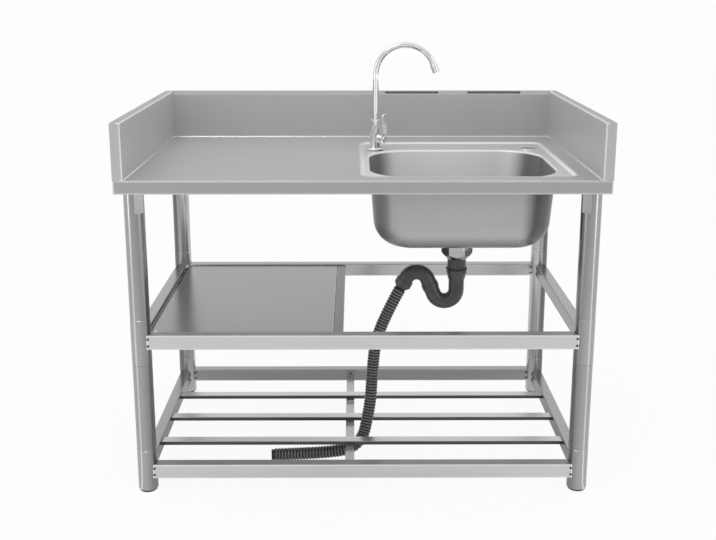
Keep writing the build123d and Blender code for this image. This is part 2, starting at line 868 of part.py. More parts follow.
def tap_base_washer():
    ring = rod(tap_x, tap_y, panel_floor, tap_foot, tap_base_radius - tap_washer_inset)
    return ring - rod(tap_x, tap_y, panel_floor - past, tap_foot + past, shank_radius + nut_clearance)


def tap_shank():
    """The threaded shank through the panel, and the narrower inlet that the supply is screwed on."""
    shank_end = tap_foot - shank_length
    return rod(tap_x, tap_y, shank_end, tap_foot, shank_radius) + rod(
        tap_x, tap_y, shank_end - inlet_length, shank_end, inlet_radius)


def under_washer():
    top = panel_floor - sink_sheet
    bottom = top - under_washer_height
    ring = rod(tap_x, tap_y, bottom, top, under_washer_radius)
    return ring - rod(tap_x, tap_y, bottom - past, top + past, shank_radius + nut_clearance)


def tap_nut():
    top = panel_floor - sink_sheet - under_washer_height
    nut = extrude(RegularPolygon(tap_nut_radius, 6), -tap_nut_height)
    nut = Pos(tap_x, tap_y, top) * nut
    return nut - rod(tap_x, tap_y, top - tap_nut_height - past, top + past, shank_radius + nut_clearance)


# ================================================================ drain
flange_top = drain_seat + gasket_thickness + flange_thickness
strainer_floor = flange_top - strainer_depth
cup_seat = drain_seat - sink_sheet - gasket_thickness
cup_inner = strainer_radius + cup_clearance
cup_outer = cup_inner + cup_wall
cup_hex_top = cup_seat - cup_straight
cup_cone_top = cup_hex_top - cup_hex_height
cup_cone_bottom = cup_cone_top - cup_taper
outlet_end = cup_cone_bottom - outlet_length
drain_nut_bottom = cup_cone_bottom - drain_nut_height
ring_bottom = drain_nut_bottom - ring_height
slip_nut_bottom = ring_bottom - slip_nut_height


def drain_rod(z0, z1, radius):
    return rod(bowl_centre_x, bowl_centre_y, z0, z1, radius)


def drain_ring(z0, z1, outer, inner):
    return drain_rod(z0, z1, outer) - drain_rod(z0 - past, z1 + past, inner)


def drain_turned(profile):
    return turned(profile, bowl_centre_x, bowl_centre_y)


def drain_holes(solid, count, circle, radius, level):
    for location in PolarLocations(circle, count):
        solid -= Pos(bowl_centre_x, bowl_centre_y, level) * location * Cylinder(radius, 10)
    return solid


def flange_gasket():
    return drain_ring(drain_seat, drain_seat + gasket_thickness, flange_radius, strainer_radius + nut_clearance)


def strainer_flange():
    """The dish clamped into the bowl's floor, with a holed bottom."""
    flange_bottom = flange_top - flange_thickness
    inner = strainer_radius - strainer_wall
    dish = drain_turned([
        (flange_radius, flange_bottom),
        (flange_radius, flange_top),
        (inner, flange_top),
        (inner, strainer_floor + strainer_wall),
        (clamp_screw_radius + nut_clearance, strainer_floor + strainer_wall),
        (clamp_screw_radius + nut_clearance, strainer_floor),
        (strainer_radius, strainer_floor),
        (strainer_radius, flange_bottom),
    ])
    return drain_holes(dish, strainer_hole_count, strainer_hole_circle, strainer_hole_radius, strainer_floor)


def strainer_basket():
    """The lift-out basket that hangs on the flange by its rim."""
    rim_bottom = flange_top + seat_gap
    rim_top = rim_bottom + strainer_wall
    floor = rim_top - basket_depth
    basket = drain_turned([
        (basket_rim_radius, rim_bottom),
        (basket_rim_radius, rim_top),
        (basket_radius - strainer_wall, rim_top),
        (basket_radius - strainer_wall, floor + strainer_wall),
        (0, floor + strainer_wall),
        (0, floor),
        (basket_radius, floor),
        (basket_radius, rim_bottom),
    ])
    basket = drain_holes(basket, basket_hole_count, basket_hole_circle, basket_hole_radius, floor)
    knob = drain_rod(floor + strainer_wall / 2, floor + basket_knob_height, basket_knob_radius)
    return basket + fillet(knob.edges().group_by(Axis.Z)[-1], basket_knob_edge)


def cup_gasket():
    return drain_ring(cup_seat, cup_seat + gasket_thickness, cup_rim_radius, cup_inner)


def cup_hexagon():
    """The cup's lower outside: a hexagon for the spanner, its lower corners turned to a cone."""
    envelope = drain_turned([
        (0, cup_hex_top),
        (cup_hex_radius, cup_hex_top),
        (cup_hex_radius, cup_cone_top),
        (cup_neck_radius, cup_cone_bottom),
        (0, cup_cone_bottom),
    ])
    flats = extrude(Rot(0, 0, cup_hex_turn) * RegularPolygon(cup_hex_radius, 6), cup_hex_top - cup_cone_bottom)
    return envelope & (Pos(bowl_centre_x, bowl_centre_y, cup_cone_bottom) * flats)


def drain_cup():
    """The metal cup under the bowl, with a spider for the clamping screw."""
    neck_inner = outlet_radius - outlet_wall
    floor = cup_cone_bottom + cup_wall
    cup = drain_ring(cup_seat - cup_rim_thickness, cup_seat, cup_rim_radius, cup_inner)
    cup += drain_ring(cup_hex_top, cup_seat - cup_rim_thickness, cup_outer, cup_inner)
    cup += cup_hexagon()
    cup += drain_rod(outlet_end, cup_cone_bottom, outlet_radius)
    cup -= drain_turned([
        (0, cup_seat),
        (cup_inner, cup_seat),
        (cup_inner, cup_hex_top + cup_wall),
        (cup_hex_bore, cup_hex_top - cup_wall),
        (cup_hex_bore, cup_cone_top),
        (cup_neck_radius - 2 * cup_wall, floor),
        (0, floor),
    ])
    cup -= drain_rod(outlet_end - past, floor + past, neck_inner)
    hub = drain_rod(floor, floor + spider_height, 2 * clamp_screw_radius)
    for turn in range(3):
        arm = block(0, neck_inner + spider_arm, -spider_arm / 2, spider_arm / 2, 0, spider_height)
        hub += Pos(bowl_centre_x, bowl_centre_y, floor) * Rot(0, 0, 120 * turn) * arm
    cup += hub
    return cup - drain_rod(outlet_end, floor + spider_height + past, clamp_screw_radius + nut_clearance / 2)


def clamp_screw():
    head_bottom = strainer_floor + strainer_wall
    head = drain_rod(head_bottom, head_bottom + clamp_head_height, clamp_head_radius)
    end = cup_cone_bottom + cup_wall - 2
    return fillet(head.edges().group_by(Axis.Z)[-1], clamp_head_edge) + drain_rod(end, head_bottom, clamp_screw_radius)


def drain_nut():
    """The black union nut on the cup's outlet, ribbed for grip."""
    nut = drain_ring(drain_nut_bottom, cup_cone_bottom - seam, drain_nut_radius, outlet_radius + nut_clearance)
    for location in PolarLocations(drain_nut_radius + grip_groove_offset, grip_groove_count):
        groove = location * Cylinder(grip_groove_radius, drain_nut_height - 2 * grip_groove_margin)
        nut -= Pos(bowl_centre_x, bowl_centre_y, (drain_nut_bottom + cup_cone_bottom) / 2) * groove
    return nut


def seal_ring():
    return drain_ring(ring_bottom, drain_nut_bottom, ring_radius, outlet_radius + nut_clearance)


def slip_nut():
    return drain_turned([
        (slip_nut_radius, ring_bottom),
        (slip_nut_radius, ring_bottom - slip_nut_height / 3),
        (slip_nut_foot_radius, slip_nut_bottom),
        (trap_radius + nut_clearance, slip_nut_bottom),
        (trap_radius + nut_clearance, outlet_end - seat_gap),
        (outlet_radius + nut_clearance, outlet_end - seat_gap),
        (outlet_radius + nut_clearance, ring_bottom),
    ])


# ================================================================ trap and hose
def trap_lines():
    """The trap's runs in its own plane: down, round the water seal, up, over the crest and down to the left."""
    top = outlet_end - seat_gap
    inlet = Line((0, top), (0, top - trap_inlet_length))
    seal = CenterArc((-trap_bend_radius, top - trap_inlet_length), trap_bend_radius, 0, -trap_bend_turn)
    heading = seal % 1
    joint = (seal @ 1) + heading * trap_joint
    rise = Line(joint, (seal @ 1) + heading * trap_middle_length)
    lean = 180 - trap_bend_turn
    crest_centre = (rise @ 1) + Vector(-heading.Y, heading.X, 0) * trap_bend_radius
    crest = CenterArc(crest_centre, trap_bend_radius, lean, trap_crest_turn)
    outlet = Line(crest @ 1, (crest @ 1) + (crest % 1) * trap_outlet_length)
    spigot = Line(seal @ 1, joint - heading * seam)
    return inlet + seal + spigot, rise + crest + outlet


def trap_placed(line):
    return Pos(bowl_centre_x, bowl_centre_y, 0) * (Plane.XZ * line)


def trap_pipe(path):
    start = Plane(origin=path @ 0, z_dir=path % 0)
    outer = sweep(start * Circle(trap_radius), path=path)
    return outer - sweep(start * Circle(trap_radius - trap_wall), path=path)


def trap_bend():
    """The water seal's bend, from the slip nut to its spigot."""
    return trap_pipe(trap_placed(trap_lines()[0]))


def trap_crest():
    """The crest, with the socket that the bend's spigot is pushed into."""
    path = trap_placed(trap_lines()[1])
    joint = Plane(origin=path @ 0, z_dir=path % 0)
    depth = trap_socket_depth + trap_socket_wall
    socket = Pos(0, 0, trap_socket_wall - depth / 2) * Cylinder(trap_radius + trap_socket_wall, depth)
    socket -= Pos(0, 0, -trap_socket_depth) * Cylinder(trap_radius + seam, 2 * trap_socket_depth)
    socket -= Cylinder(trap_radius - trap_wall, 2 * depth)
    return trap_pipe(path) + joint * socket


def hose_nut():
    """The collar on the trap's outlet that grips the hose."""
    path = trap_placed(trap_lines()[1])
    end = Plane(origin=path @ 1, z_dir=path % 1)
    cone_end = hose_nut_height + hose_nut_cone
    profile = [
        (hose_nut_radius, -trap_outlet_length / 2),
        (hose_nut_radius, hose_nut_height),
        (hose_crest_radius, cone_end),
        (hose_bore_radius, cone_end),
        (hose_bore_radius, seam),
        (trap_radius + nut_clearance, seam),
        (trap_radius + nut_clearance, -trap_outlet_length / 2),
    ]
    face = make_face(Plane.XZ * Polyline(*profile, close=True))
    return end * revolve(face, Axis.Z)


def hose_line():
    """Straight runs joined by tangent arcs as large as the two runs allow."""
    points = [Vector(*place) for place in hose_route]
    radii = []
    for before, corner, after in zip(points, points[1:], points[2:]):
        run = min((corner - before).length, (after - corner).length)
        half_turn = math.radians((corner - before).get_angle(after - corner)) / 2
        radii.append(hose_bend_share * run / math.tan(half_turn))
    print("hose bend radii", [round(radius) for radius in radii])
    return FilletPolyline(*points, radius=radii)


def hose_circle(line, distance, radius):
    """A circle square to the line, its X axis held level from front to back."""
    share = min(distance / line.length, 1)
    heading = line % share
    level = Vector(0, 1, 0)
    steady = level - heading * level.dot(heading)
    return Wire.make_circle(radius, Plane(origin=line @ share, x_dir=steady, z_dir=heading))


def rib_section(rib_count, length):
    """The hose's volume from its section: crests, valleys, the cones between them, and the bore."""
    crest = hose_crest_radius ** 2
    valley = hose_valley_radius ** 2
    slope = (crest + valley + hose_crest_radius * hose_valley_radius) / 3
    ribs = rib_count * hose_rib_pitch
    valley_share = 1 - hose_crest_share - 2 * hose_slope_share
    mean = hose_crest_share * crest + 2 * hose_slope_share * slope + valley_share * valley
    return math.pi * (ribs * mean + (length - ribs) * valley - length * hose_bore_radius ** 2)


def drain_hose():
    """The corrugated hose: one ring of valley, slope, crest and slope for each rib, and a smooth bore."""
    line = hose_line()
    rib_count = int((line.length - 2 * hose_cuff) / hose_rib_pitch)
    crest_end = hose_slope_share + hose_crest_share
    steps = [(0, hose_valley_radius), (hose_slope_share, hose_crest_radius)]
    steps += [(crest_end, hose_crest_radius), (crest_end + hose_slope_share, hose_valley_radius)]
    rings = [hose_circle(line, 0, hose_valley_radius)]
    for index in range(rib_count):
        for share, radius in steps:
            rings.append(hose_circle(line, hose_cuff + (index + share) * hose_rib_pitch, radius))
    rings.append(hose_circle(line, line.length, hose_valley_radius))
    outside = Solid.make_loft(rings, ruled=True)
    bore = sweep(Plane(origin=line @ 0, z_dir=line % 0) * Circle(hose_bore_radius), path=line)
    print("hose length", round(line.length, 1), "ribs", rib_count)
    hose = outside - bore
    print("hose volume", round(hose.volume), "of", round(rib_section(rib_count, line.length)), "expected")
    return hose


# ================================================================ write every piece
def main():
    os.makedirs("parts", exist_ok=True)
    save("worktop", worktop())
    save("back_splash", back_splash())
    save("sink_bowl", sink())
    for name, side in sides.items():
        save(f"{name}_splash", side_splash(side))
        save(f"middle_{name}_rail", short_rail(side, middle_rail_z))
        save(f"lower_{name}_rail", slotted_short_rail(side))
    for name, row in rows.items():
        save(f"middle_{name}_rail", slotted_long_rail(row))
        save(f"lower_{name}_rail", drilled_lower_rail(row))
    for name, (sx, sy) in corners.items():
        middle = connector(sx, sy, middle_rail_z, middle_connector_bottom, middle_connector_top, False)
        save(f"middle_connector_{name}", middle)
        lower = connector(sx, sy, lower_rail_z, lower_connector_bottom, lower_connector_top, True)
        save(f"lower_connector_{name}", lower)
        save(f"foot_{name}", foot(sx, sy))
    save("deck_beams", *[deck_beam(row) for row in rows.values()])
    save("drainboard_stiffeners", *[drainboard_stiffener(side) for side in sides.values()])
    save("upper_leg_tubes", *[leg_tube(sx, sy, middle_connector_top, leg_top) for sx, sy in corners.values()])
    lower_span = (lower_connector_top, middle_connector_bottom)
    save("lower_leg_tubes", *[leg_tube(sx, sy, *lower_span) for sx, sy in corners.values()])
    save("leg_sockets", *[leg_socket(sx, sy) for sx, sy in corners.values()])
    save("foot_inserts", *[foot_insert(sx, sy) for sx, sy in corners.values()])
    tie_screws = [tie_screw_seat(sy) * screw() for sy in rows.values()]
    save("frame_screws", *frame_screws(middle_rail_z), *frame_screws(lower_rail_z), *tie_screws)
    save("shelf_panel", shelf_panel())
    save("cross_bar", cross_bar())
    for index, y in enumerate(slat_places):
        save(f"slat_{index + 1}", slat(y))
    save("tie_bar", tie_bar())
    save("blanking_cap", blanking_cap())
    save("fitting_nuts", blanking_nut(), tap_nut())
    save("tap_body", tap_body() + tap_shank())
    save("tap_collar", tap_collar())
    save("tap_washers", tap_base_washer(), under_washer())
    save("valve_bonnet", bonnet())
    save("tap_lever", lever())
    save("spout", spout())
    save("aerator", aerator())
    save("aerator_mesh", aerator_mesh())
    save("drain_gaskets", flange_gasket(), cup_gasket())
    save("strainer_flange", strainer_flange())
    save("strainer_basket", strainer_basket())
    save("clamp_screw", clamp_screw())
    save("drain_cup", drain_cup())
    save("drain_nut", drain_nut())
    save("seal_ring", seal_ring())
    save("slip_nut", slip_nut())
    save("trap_bend", trap_bend())
    save("trap_crest", trap_crest())
    save("hose_nut", hose_nut())
    save("drain_hose", drain_hose())


main()
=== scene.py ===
"""The stainless sink table in a plain white studio. Metres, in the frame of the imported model."""
import math

import bmesh
import bpy
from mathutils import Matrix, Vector


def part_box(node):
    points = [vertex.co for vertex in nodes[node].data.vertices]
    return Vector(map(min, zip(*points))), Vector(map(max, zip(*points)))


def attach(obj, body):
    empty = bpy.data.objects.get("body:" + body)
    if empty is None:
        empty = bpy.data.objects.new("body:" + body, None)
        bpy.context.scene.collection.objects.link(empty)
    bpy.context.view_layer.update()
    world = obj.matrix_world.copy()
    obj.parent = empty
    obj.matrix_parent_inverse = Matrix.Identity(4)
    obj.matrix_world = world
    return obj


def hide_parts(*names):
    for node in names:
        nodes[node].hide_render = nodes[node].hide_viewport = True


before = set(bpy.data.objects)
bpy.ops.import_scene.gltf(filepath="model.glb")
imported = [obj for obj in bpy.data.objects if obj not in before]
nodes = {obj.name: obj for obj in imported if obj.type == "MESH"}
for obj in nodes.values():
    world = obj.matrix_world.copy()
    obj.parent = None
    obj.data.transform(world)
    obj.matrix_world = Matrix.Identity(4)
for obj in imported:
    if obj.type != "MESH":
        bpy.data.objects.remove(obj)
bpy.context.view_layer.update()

# ---------------------------------------------------------------- camera, as the photograph was taken
camera_place = (-0.0209, -2.57993, 1.28931)
camera_pitch = 0.2214
camera_yaw = 0.0038
camera_lens = 47.91
camera_shift = -0.1

# ---------------------------------------------------------------- drain hose, in metres
hose_route = [
    (0.10608, -0.0890, 0.47978),
    (0.07702, -0.0890, 0.42512),
    (0.0370, -0.0880, 0.3280),
    (0.0280, -0.0880, 0.2260),
    (0.0240, -0.0910, 0.1480),
    (0.0140, -0.0970, 0.0920),
    (0.0030, -0.1070, 0.0440),
    (-0.0320, -0.1280, 0.0173),
    (-0.1060, -0.1470, 0.0173),
    (-0.1800, -0.1540, 0.0173),
    (-0.2510, -0.1600, 0.0173),
]
hose_crest = 0.0170
hose_valley = 0.0146
hose_bore = 0.0130
hose_pitch = 0.0085
hose_cuff = 0.006
# painted shade in the hose's valleys and painted highlight on its crests
hose_valley_shade_level = 0.010
hose_crest_highlight_level = 0.150

# ---------------------------------------------------------------- finer pieces, in metres
weld_radius = 0.0035

# ---------------------------------------------------------------- brush lines and plastic grain
brush_scale = 2600.0
brush_relief = 0.02
grain_scale = 700.0
grain_relief = 0.12

# ---------------------------------------------------------------- legs: how light their sides are
leg_front_shade = 0.66
leg_back_shade = 0.42
leg_back_light = 1.45

# ---------------------------------------------------------------- deck: where its painted light rises, along y
painted_light_front_y = -0.33
painted_light_back_y = 0.30

# ---------------------------------------------------------------- sink's middle, and the painted light and shade on its faces
bowl_middle = (0.257, -0.089)
bowl_inside_level = 0.84
bowl_outside_level = 0.44
bowl_inside_ends_shade = 0.24
bowl_left_end_shade = 0.34
bowl_right_end_shade = 0.26
bowl_under_shade = 0.45
lip_height = 0.8195
lip_highlight_level = 0.88
panel_painted_light = 0.70
bowl_metal = 0.35

# ---------------------------------------------------------------- shelf, and the painted shade of the gap beside it
shelf_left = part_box("shelf_panel")[0][0]
shelf_level = 0.30
gap_shade_width = 0.008
gap_shade_level = 0.012

# ---------------------------------------------------------------- slots in the back splash, with painted shade inside
slot_middle = 0.336
slot_half = 0.0064
slot_pair_x = 0.280
slot_reach = 0.212
slot_fade = 0.0006
slot_shade_level = 0.01

# ---------------------------------------------------------------- studio light, 1 being white
room_light = 0.80
backdrop_white = 0.985
mirror_back = 1.00
mirror_sides = 0.62
mirror_front = 0.55
mirror_top = 0.90
floor_near = 0.98
floor_far = 0.80
floor_under_shadow = 0.55
floor_shine = 0.93
strip_lamps = {-1: (-2.75, -1.85, 1.1), 1: (2.65, -2.00, 1.1)}
strip_power = 9.0
strip_painted_reflection = 1.2
leg_foot = (0.56, -0.308)


def make_camera():
    data = bpy.data.cameras.new("camera")
    data.lens = camera_lens
    data.sensor_width = 36.0
    data.shift_y = camera_shift
    data.clip_end = 60.0
    camera = bpy.data.objects.new("camera", data)
    camera.location = camera_place
    camera.rotation_euler = (math.pi / 2 - camera_pitch, 0, -camera_yaw)
    bpy.context.collection.objects.link(camera)
    bpy.context.scene.camera = camera


# ---------------------------------------------------------------- materials
def new_material(name):
    """An empty node material with a Principled shader: (material, nodes, links, shader)."""
    material = bpy.data.materials.new(name)
    material.use_nodes = True
    tree = material.node_tree
    tree.nodes.clear()
    output = tree.nodes.new("ShaderNodeOutputMaterial")
    shader = tree.nodes.new("ShaderNodeBsdfPrincipled")
    tree.links.new(shader.outputs["BSDF"], output.inputs["Surface"])
    return material, tree.nodes, tree.links, shader


def stretched_noise(parts, links, scale, stretch, detail):
    """Noise over the surface's own place, drawn out along the axes whose stretch is small."""
    place = parts.new("ShaderNodeTexCoord")
    mapping = parts.new("ShaderNodeMapping")
    mapping.inputs["Scale"].default_value = stretch
    links.new(place.outputs["Object"], mapping.inputs["Vector"])
    noise = parts.new("ShaderNodeTexNoise")
    noise.inputs["Scale"].default_value = scale
    noise.inputs["Detail"].default_value = detail
    links.new(mapping.outputs["Vector"], noise.inputs["Vector"])
    return noise.outputs["Fac"]


def between(parts, links, value, low, high):
    """A value from 0..1 moved to low..high."""
    span = parts.new("ShaderNodeMapRange")
    span.inputs["To Min"].default_value = low
    span.inputs["To Max"].default_value = high
    span.inputs["From Min"].default_value = 0.25
    span.inputs["From Max"].default_value = 0.75
    links.new(value, span.inputs["Value"])
    return span.outputs["Result"]


def ramp(parts, links, value, start, finish, low, high):
    """A smooth step from low to high while the value goes from start to finish."""
    span = parts.new("ShaderNodeMapRange")
    span.interpolation_type = "SMOOTHSTEP"
    span.inputs["From Min"].default_value = start
    span.inputs["From Max"].default_value = finish
    span.inputs["To Min"].default_value = low
    span.inputs["To Max"].default_value = high
    links.new(value, span.inputs["Value"])
    return span.outputs["Result"]


def grey(parts, links, value):
    mix = parts.new("ShaderNodeCombineColor")
    for channel in ("Red", "Green", "Blue"):
        links.new(value, mix.inputs[channel])
    return mix.outputs["Color"]


def worked(parts, links, operation, first, second=None):
    """One step of arithmetic; a number may stand for either value."""
    step = parts.new("ShaderNodeMath")
    step.operation = operation
    for socket, value in zip(step.inputs, (first, second)):
        if isinstance(value, (int, float)):
            socket.default_value = value
        elif value is not None:
            links.new(value, socket)
    return step.outputs[0]


def blended(parts, links, share, first, second):
    """From the first value to the second as the share goes from 0 to 1."""
    change = worked(parts, links, "SUBTRACT", second, first)
    return worked(parts, links, "ADD", first, worked(parts, links, "MULTIPLY", share, change))


def facing(parts, links):
    """The x, y and z of the way that the surface faces."""
    surface = parts.new("ShaderNodeNewGeometry")
    split = parts.new("ShaderNodeSeparateXYZ")
    links.new(surface.outputs["Normal"], split.inputs[0])
    return split.outputs


def place_on(parts, links):
    """The x, y and z of the place on the object."""
    place = parts.new("ShaderNodeTexCoord")
    split = parts.new("ShaderNodeSeparateXYZ")
    links.new(place.outputs["Object"], split.inputs[0])
    return split.outputs


def near_edge(parts, links, radius):
    """1 along folded edges and corners, fading to 0 a radius away from them."""
    surface = parts.new("ShaderNodeNewGeometry")
    rounded = parts.new("ShaderNodeBevel")
    rounded.samples = 6
    rounded.inputs["Radius"].default_value = radius
    turn = parts.new("ShaderNodeVectorMath")
    turn.operation = "DOT_PRODUCT"
    links.new(surface.outputs["Normal"], turn.inputs[0])
    links.new(rounded.outputs["Normal"], turn.inputs[1])
    return ramp(parts, links, turn.outputs["Value"], 0.995, 0.90, 0.0, 1.0)


def brushed(parts, links, shader, grain, swing, roughness):
    """Brush lines and faint clouds in the tone, the gloss and the relief. Gives the tone's factor."""
    lines = stretched_noise(parts, links, brush_scale, grain, 2.0)
    clouds = stretched_noise(parts, links, 3.0, (1.0, 1.0, 1.0), 3.0)
    links.new(between(parts, links, lines, roughness - 0.03, roughness + 0.03), shader.inputs["Roughness"])
    bump = parts.new("ShaderNodeBump")
    bump.inputs["Strength"].default_value = brush_relief
    bump.inputs["Distance"].default_value = 0.0001
    links.new(lines, bump.inputs["Height"])
    links.new(bump.outputs["Normal"], shader.inputs["Normal"])
    return worked(parts, links, "MULTIPLY", between(parts, links, lines, 1 - swing, 1 + swing),
                  between(parts, links, clouds, 0.97, 1.03))


def leg_shade(parts, links, face):
    """A front leg's shaded side looks under the table, a back leg's away from it, where it is darker still."""
    place = place_on(parts, links)
    outwards = worked(parts, links, "MULTIPLY", face[0], worked(parts, links, "SIGN", place[0]))
    front = ramp(parts, links, outwards, 0.10, -0.85, 1.0, leg_front_shade)
    back = ramp(parts, links, outwards, -0.25, 0.45, leg_back_light, leg_back_shade)
    return blended(parts, links, ramp(parts, links, place[1], -0.01, 0.01, 0.0, 1.0), front, back)


def steel(name, level, grain, roughness, swing=0.025, metal=1.0, top=1.0, front=1.0, ends=1.0, inner=1.0,
          leg=False, edge=0.0, edge_radius=0.0025, edge_inside=None, slots=False, rise=None):
    """Stainless sheet or tube. grain is the stretch that draws the brush lines along one axis.

    top, front and ends are painted light and shade: how much lighter the tone is on faces that look up,
    forwards and sideways; inner the same, as painted shade, on sides that look under the table; and edge how
    much painted highlight the folds and edges get, no further out than edge_inside. rise is a painted light
    gradient, how light it is at the front and at the back; leg paints shade and light on the sides of a leg;
    and slots paints shade inside the back splash's slots.
    """
    material, parts, links, shader = new_material(name)
    shader.inputs["Metallic"].default_value = metal
    tone = worked(parts, links, "MULTIPLY", level,
                  brushed(parts, links, shader, grain, swing, roughness))
    face = facing(parts, links)
    # painted light and shade: faces are made lighter or darker by which way they look and where they stand
    if top != 1.0:
        tone = worked(parts, links, "MULTIPLY", tone, ramp(parts, links, face[2], 0.80, 0.97, 1.0, top))
    if front != 1.0:
        tone = worked(parts, links, "MULTIPLY", tone, ramp(parts, links, face[1], -0.50, -0.97, 1.0, front))
    if ends != 1.0:
        sideways = worked(parts, links, "ABSOLUTE", face[0])
        tone = worked(parts, links, "MULTIPLY", tone, ramp(parts, links, sideways, 0.30, 0.90, 1.0, ends))
    if leg:
        tone = worked(parts, links, "MULTIPLY", tone, leg_shade(parts, links, face))
    if inner != 1.0:
        outwards = worked(parts, links, "MULTIPLY", face[0],
                          worked(parts, links, "SIGN", place_on(parts, links)[0]))
        lit = ramp(parts, links, outwards, -0.30, -0.85, 1.0, inner)
        tone = worked(parts, links, "MULTIPLY", tone, lit)
    # painted light: a tone gradient from front to back
    if rise:
        back = place_on(parts, links)[1]
        tone = worked(parts, links, "MULTIPLY", tone, ramp(parts, links, back, painted_light_front_y, painted_light_back_y, *rise))
    # painted shade inside the back splash's slots
    if slots:
        place = place_on(parts, links)
        off = worked(parts, links, "ABSOLUTE", worked(parts, links, "SUBTRACT", place[1], slot_middle))
        aside = worked(parts, links, "ABSOLUTE", worked(parts, links, "SUBTRACT", place[0], slot_pair_x))
        deep = worked(parts, links, "MULTIPLY",
                      ramp(parts, links, off, slot_half + slot_fade, slot_half, 0.0, 1.0),
                      ramp(parts, links, face[2], 0.5, 0.3, 0.0, 1.0))
        deep = worked(parts, links, "MULTIPLY", deep,
                      ramp(parts, links, aside, slot_reach + 0.002, slot_reach, 0.0, 1.0))
        tone = blended(parts, links, deep, tone, slot_shade_level)
    # painted highlight along folds and edges
    if edge:
        gain = worked(parts, links, "MULTIPLY", near_edge(parts, links, edge_radius), edge)
        if edge_inside:
            out = worked(parts, links, "ABSOLUTE", place_on(parts, links)[0])
            gain = worked(parts, links, "MULTIPLY", gain,
                          ramp(parts, links, out, edge_inside, edge_inside - 0.004, 0.0, 1.0))
        tone = worked(parts, links, "MULTIPLY", tone, worked(parts, links, "ADD", gain, 1.0))
    links.new(grey(parts, links, tone), shader.inputs["Base Color"])
    return material


def shelf_steel():
    """The shelf sheet: painted highlight on its folds, painted shade along the left rail for the dark gap
    there.
    """
    material, parts, links, shader = new_material("shelf_steel")
    shader.inputs["Metallic"].default_value = 0.85
    place = place_on(parts, links)
    fine = brushed(parts, links, shader, along_y, 0.01, 0.24)
    # painted highlight along the shelf's folds
    fold_highlight = worked(parts, links, "MULTIPLY", near_edge(parts, links, 0.004), 0.5)
    fold_highlight = worked(parts, links, "ADD", fold_highlight, 1.0)
    tone = worked(parts, links, "MULTIPLY", shelf_level, worked(parts, links, "MULTIPLY", fine, fold_highlight))
    # painted shade along the left rail, where the gap between shelf and rail is dark
    gap_shade = ramp(parts, links, place[0], shelf_left + gap_shade_width, shelf_left + 0.8 * gap_shade_width, 0.0, 1.0)
    tone = blended(parts, links, gap_shade, tone, gap_shade_level)
    links.new(grey(parts, links, tone), shader.inputs["Base Color"])
    return material


def bowl_steel():
    """Pressed sink, painted light and shade: pale land and lip, inside lighter than outside, darker at ends and
    below.
    """
    material, parts, links, shader = new_material("bowl_steel")
    shader.inputs["Metallic"].default_value = bowl_metal
    face = facing(parts, links)
    place = place_on(parts, links)
    across = worked(parts, links, "SUBTRACT", place[0], bowl_middle[0])
    along = worked(parts, links, "SUBTRACT", place[1], bowl_middle[1])
    outwards = worked(parts, links, "ADD", worked(parts, links, "MULTIPLY", across, face[0]),
                      worked(parts, links, "MULTIPLY", along, face[1]))
    outside = ramp(parts, links, outwards, -0.01, 0.01, 0.0, 1.0)
    sideways = worked(parts, links, "ABSOLUTE", face[0])
    # painted shade where the walls turn to the ends, inside and out, and underneath; painted light on lip and
    # land
    within = ramp(parts, links, sideways, 0.30, 0.80, bowl_inside_level,
                  bowl_inside_level * bowl_inside_ends_shade)
    left = ramp(parts, links, face[0], -0.30, -0.90, 1.0, bowl_left_end_shade)
    right = ramp(parts, links, face[0], 0.08, 0.42, 1.0, bowl_right_end_shade)
    below = ramp(parts, links, face[2], -0.45, -0.95, bowl_outside_level,
                 bowl_outside_level * bowl_under_shade)
    without = worked(parts, links, "MULTIPLY", below, worked(parts, links, "MULTIPLY", left, right))
    wall = blended(parts, links, outside, within, without)
    high = ramp(parts, links, place[2], lip_height, lip_height + 0.001, 0.0, 1.0)
    lip = worked(parts, links, "MULTIPLY", high, ramp(parts, links, face[2], 0.20, 0.40, 0.0, 1.0))
    tone = blended(parts, links, lip, wall, lip_highlight_level)
    land = worked(parts, links, "MULTIPLY", high, ramp(parts, links, face[2], 0.94, 0.985, 0.0, 1.0))
    tone = blended(parts, links, land, tone, panel_painted_light)
    fine = brushed(parts, links, shader, along_x, 0.012, 0.34)
    links.new(grey(parts, links, worked(parts, links, "MULTIPLY", tone, fine)), shader.inputs["Base Color"])
    return material


def polished(name, level, roughness):
    """Bright-finished fittings, with faint wiping marks in the gloss."""
    material, parts, links, shader = new_material(name)
    shader.inputs["Metallic"].default_value = 1.0
    marks = stretched_noise(parts, links, 60.0, (1.0, 1.0, 0.35), 4.0)
    tone = between(parts, links, marks, level * 0.95, level * 1.05)
    links.new(grey(parts, links, tone), shader.inputs["Base Color"])
    links.new(between(parts, links, marks, roughness * 0.7, roughness * 1.5), shader.inputs["Roughness"])
    return material


def plastic(name, level, roughness):
    """Moulded plastic or rubber with a fine spark-eroded grain."""
    material, parts, links, shader = new_material(name)
    pits = stretched_noise(parts, links, grain_scale, (1.0, 1.0, 1.0), 2.0)
    clouds = stretched_noise(parts, links, 14.0, (1.0, 1.0, 1.0), 3.0)
    tone = between(parts, links, clouds, level * 0.8, level * 1.25)
    links.new(grey(parts, links, tone), shader.inputs["Base Color"])
    links.new(between(parts, links, pits, roughness - 0.06, roughness + 0.08), shader.inputs["Roughness"])
    bump = parts.new("ShaderNodeBump")
    bump.inputs["Strength"].default_value = grain_relief
    bump.inputs["Distance"].default_value = 0.0003
    links.new(pits, bump.inputs["Height"])
    links.new(bump.outputs["Normal"], shader.inputs["Normal"])
    return material


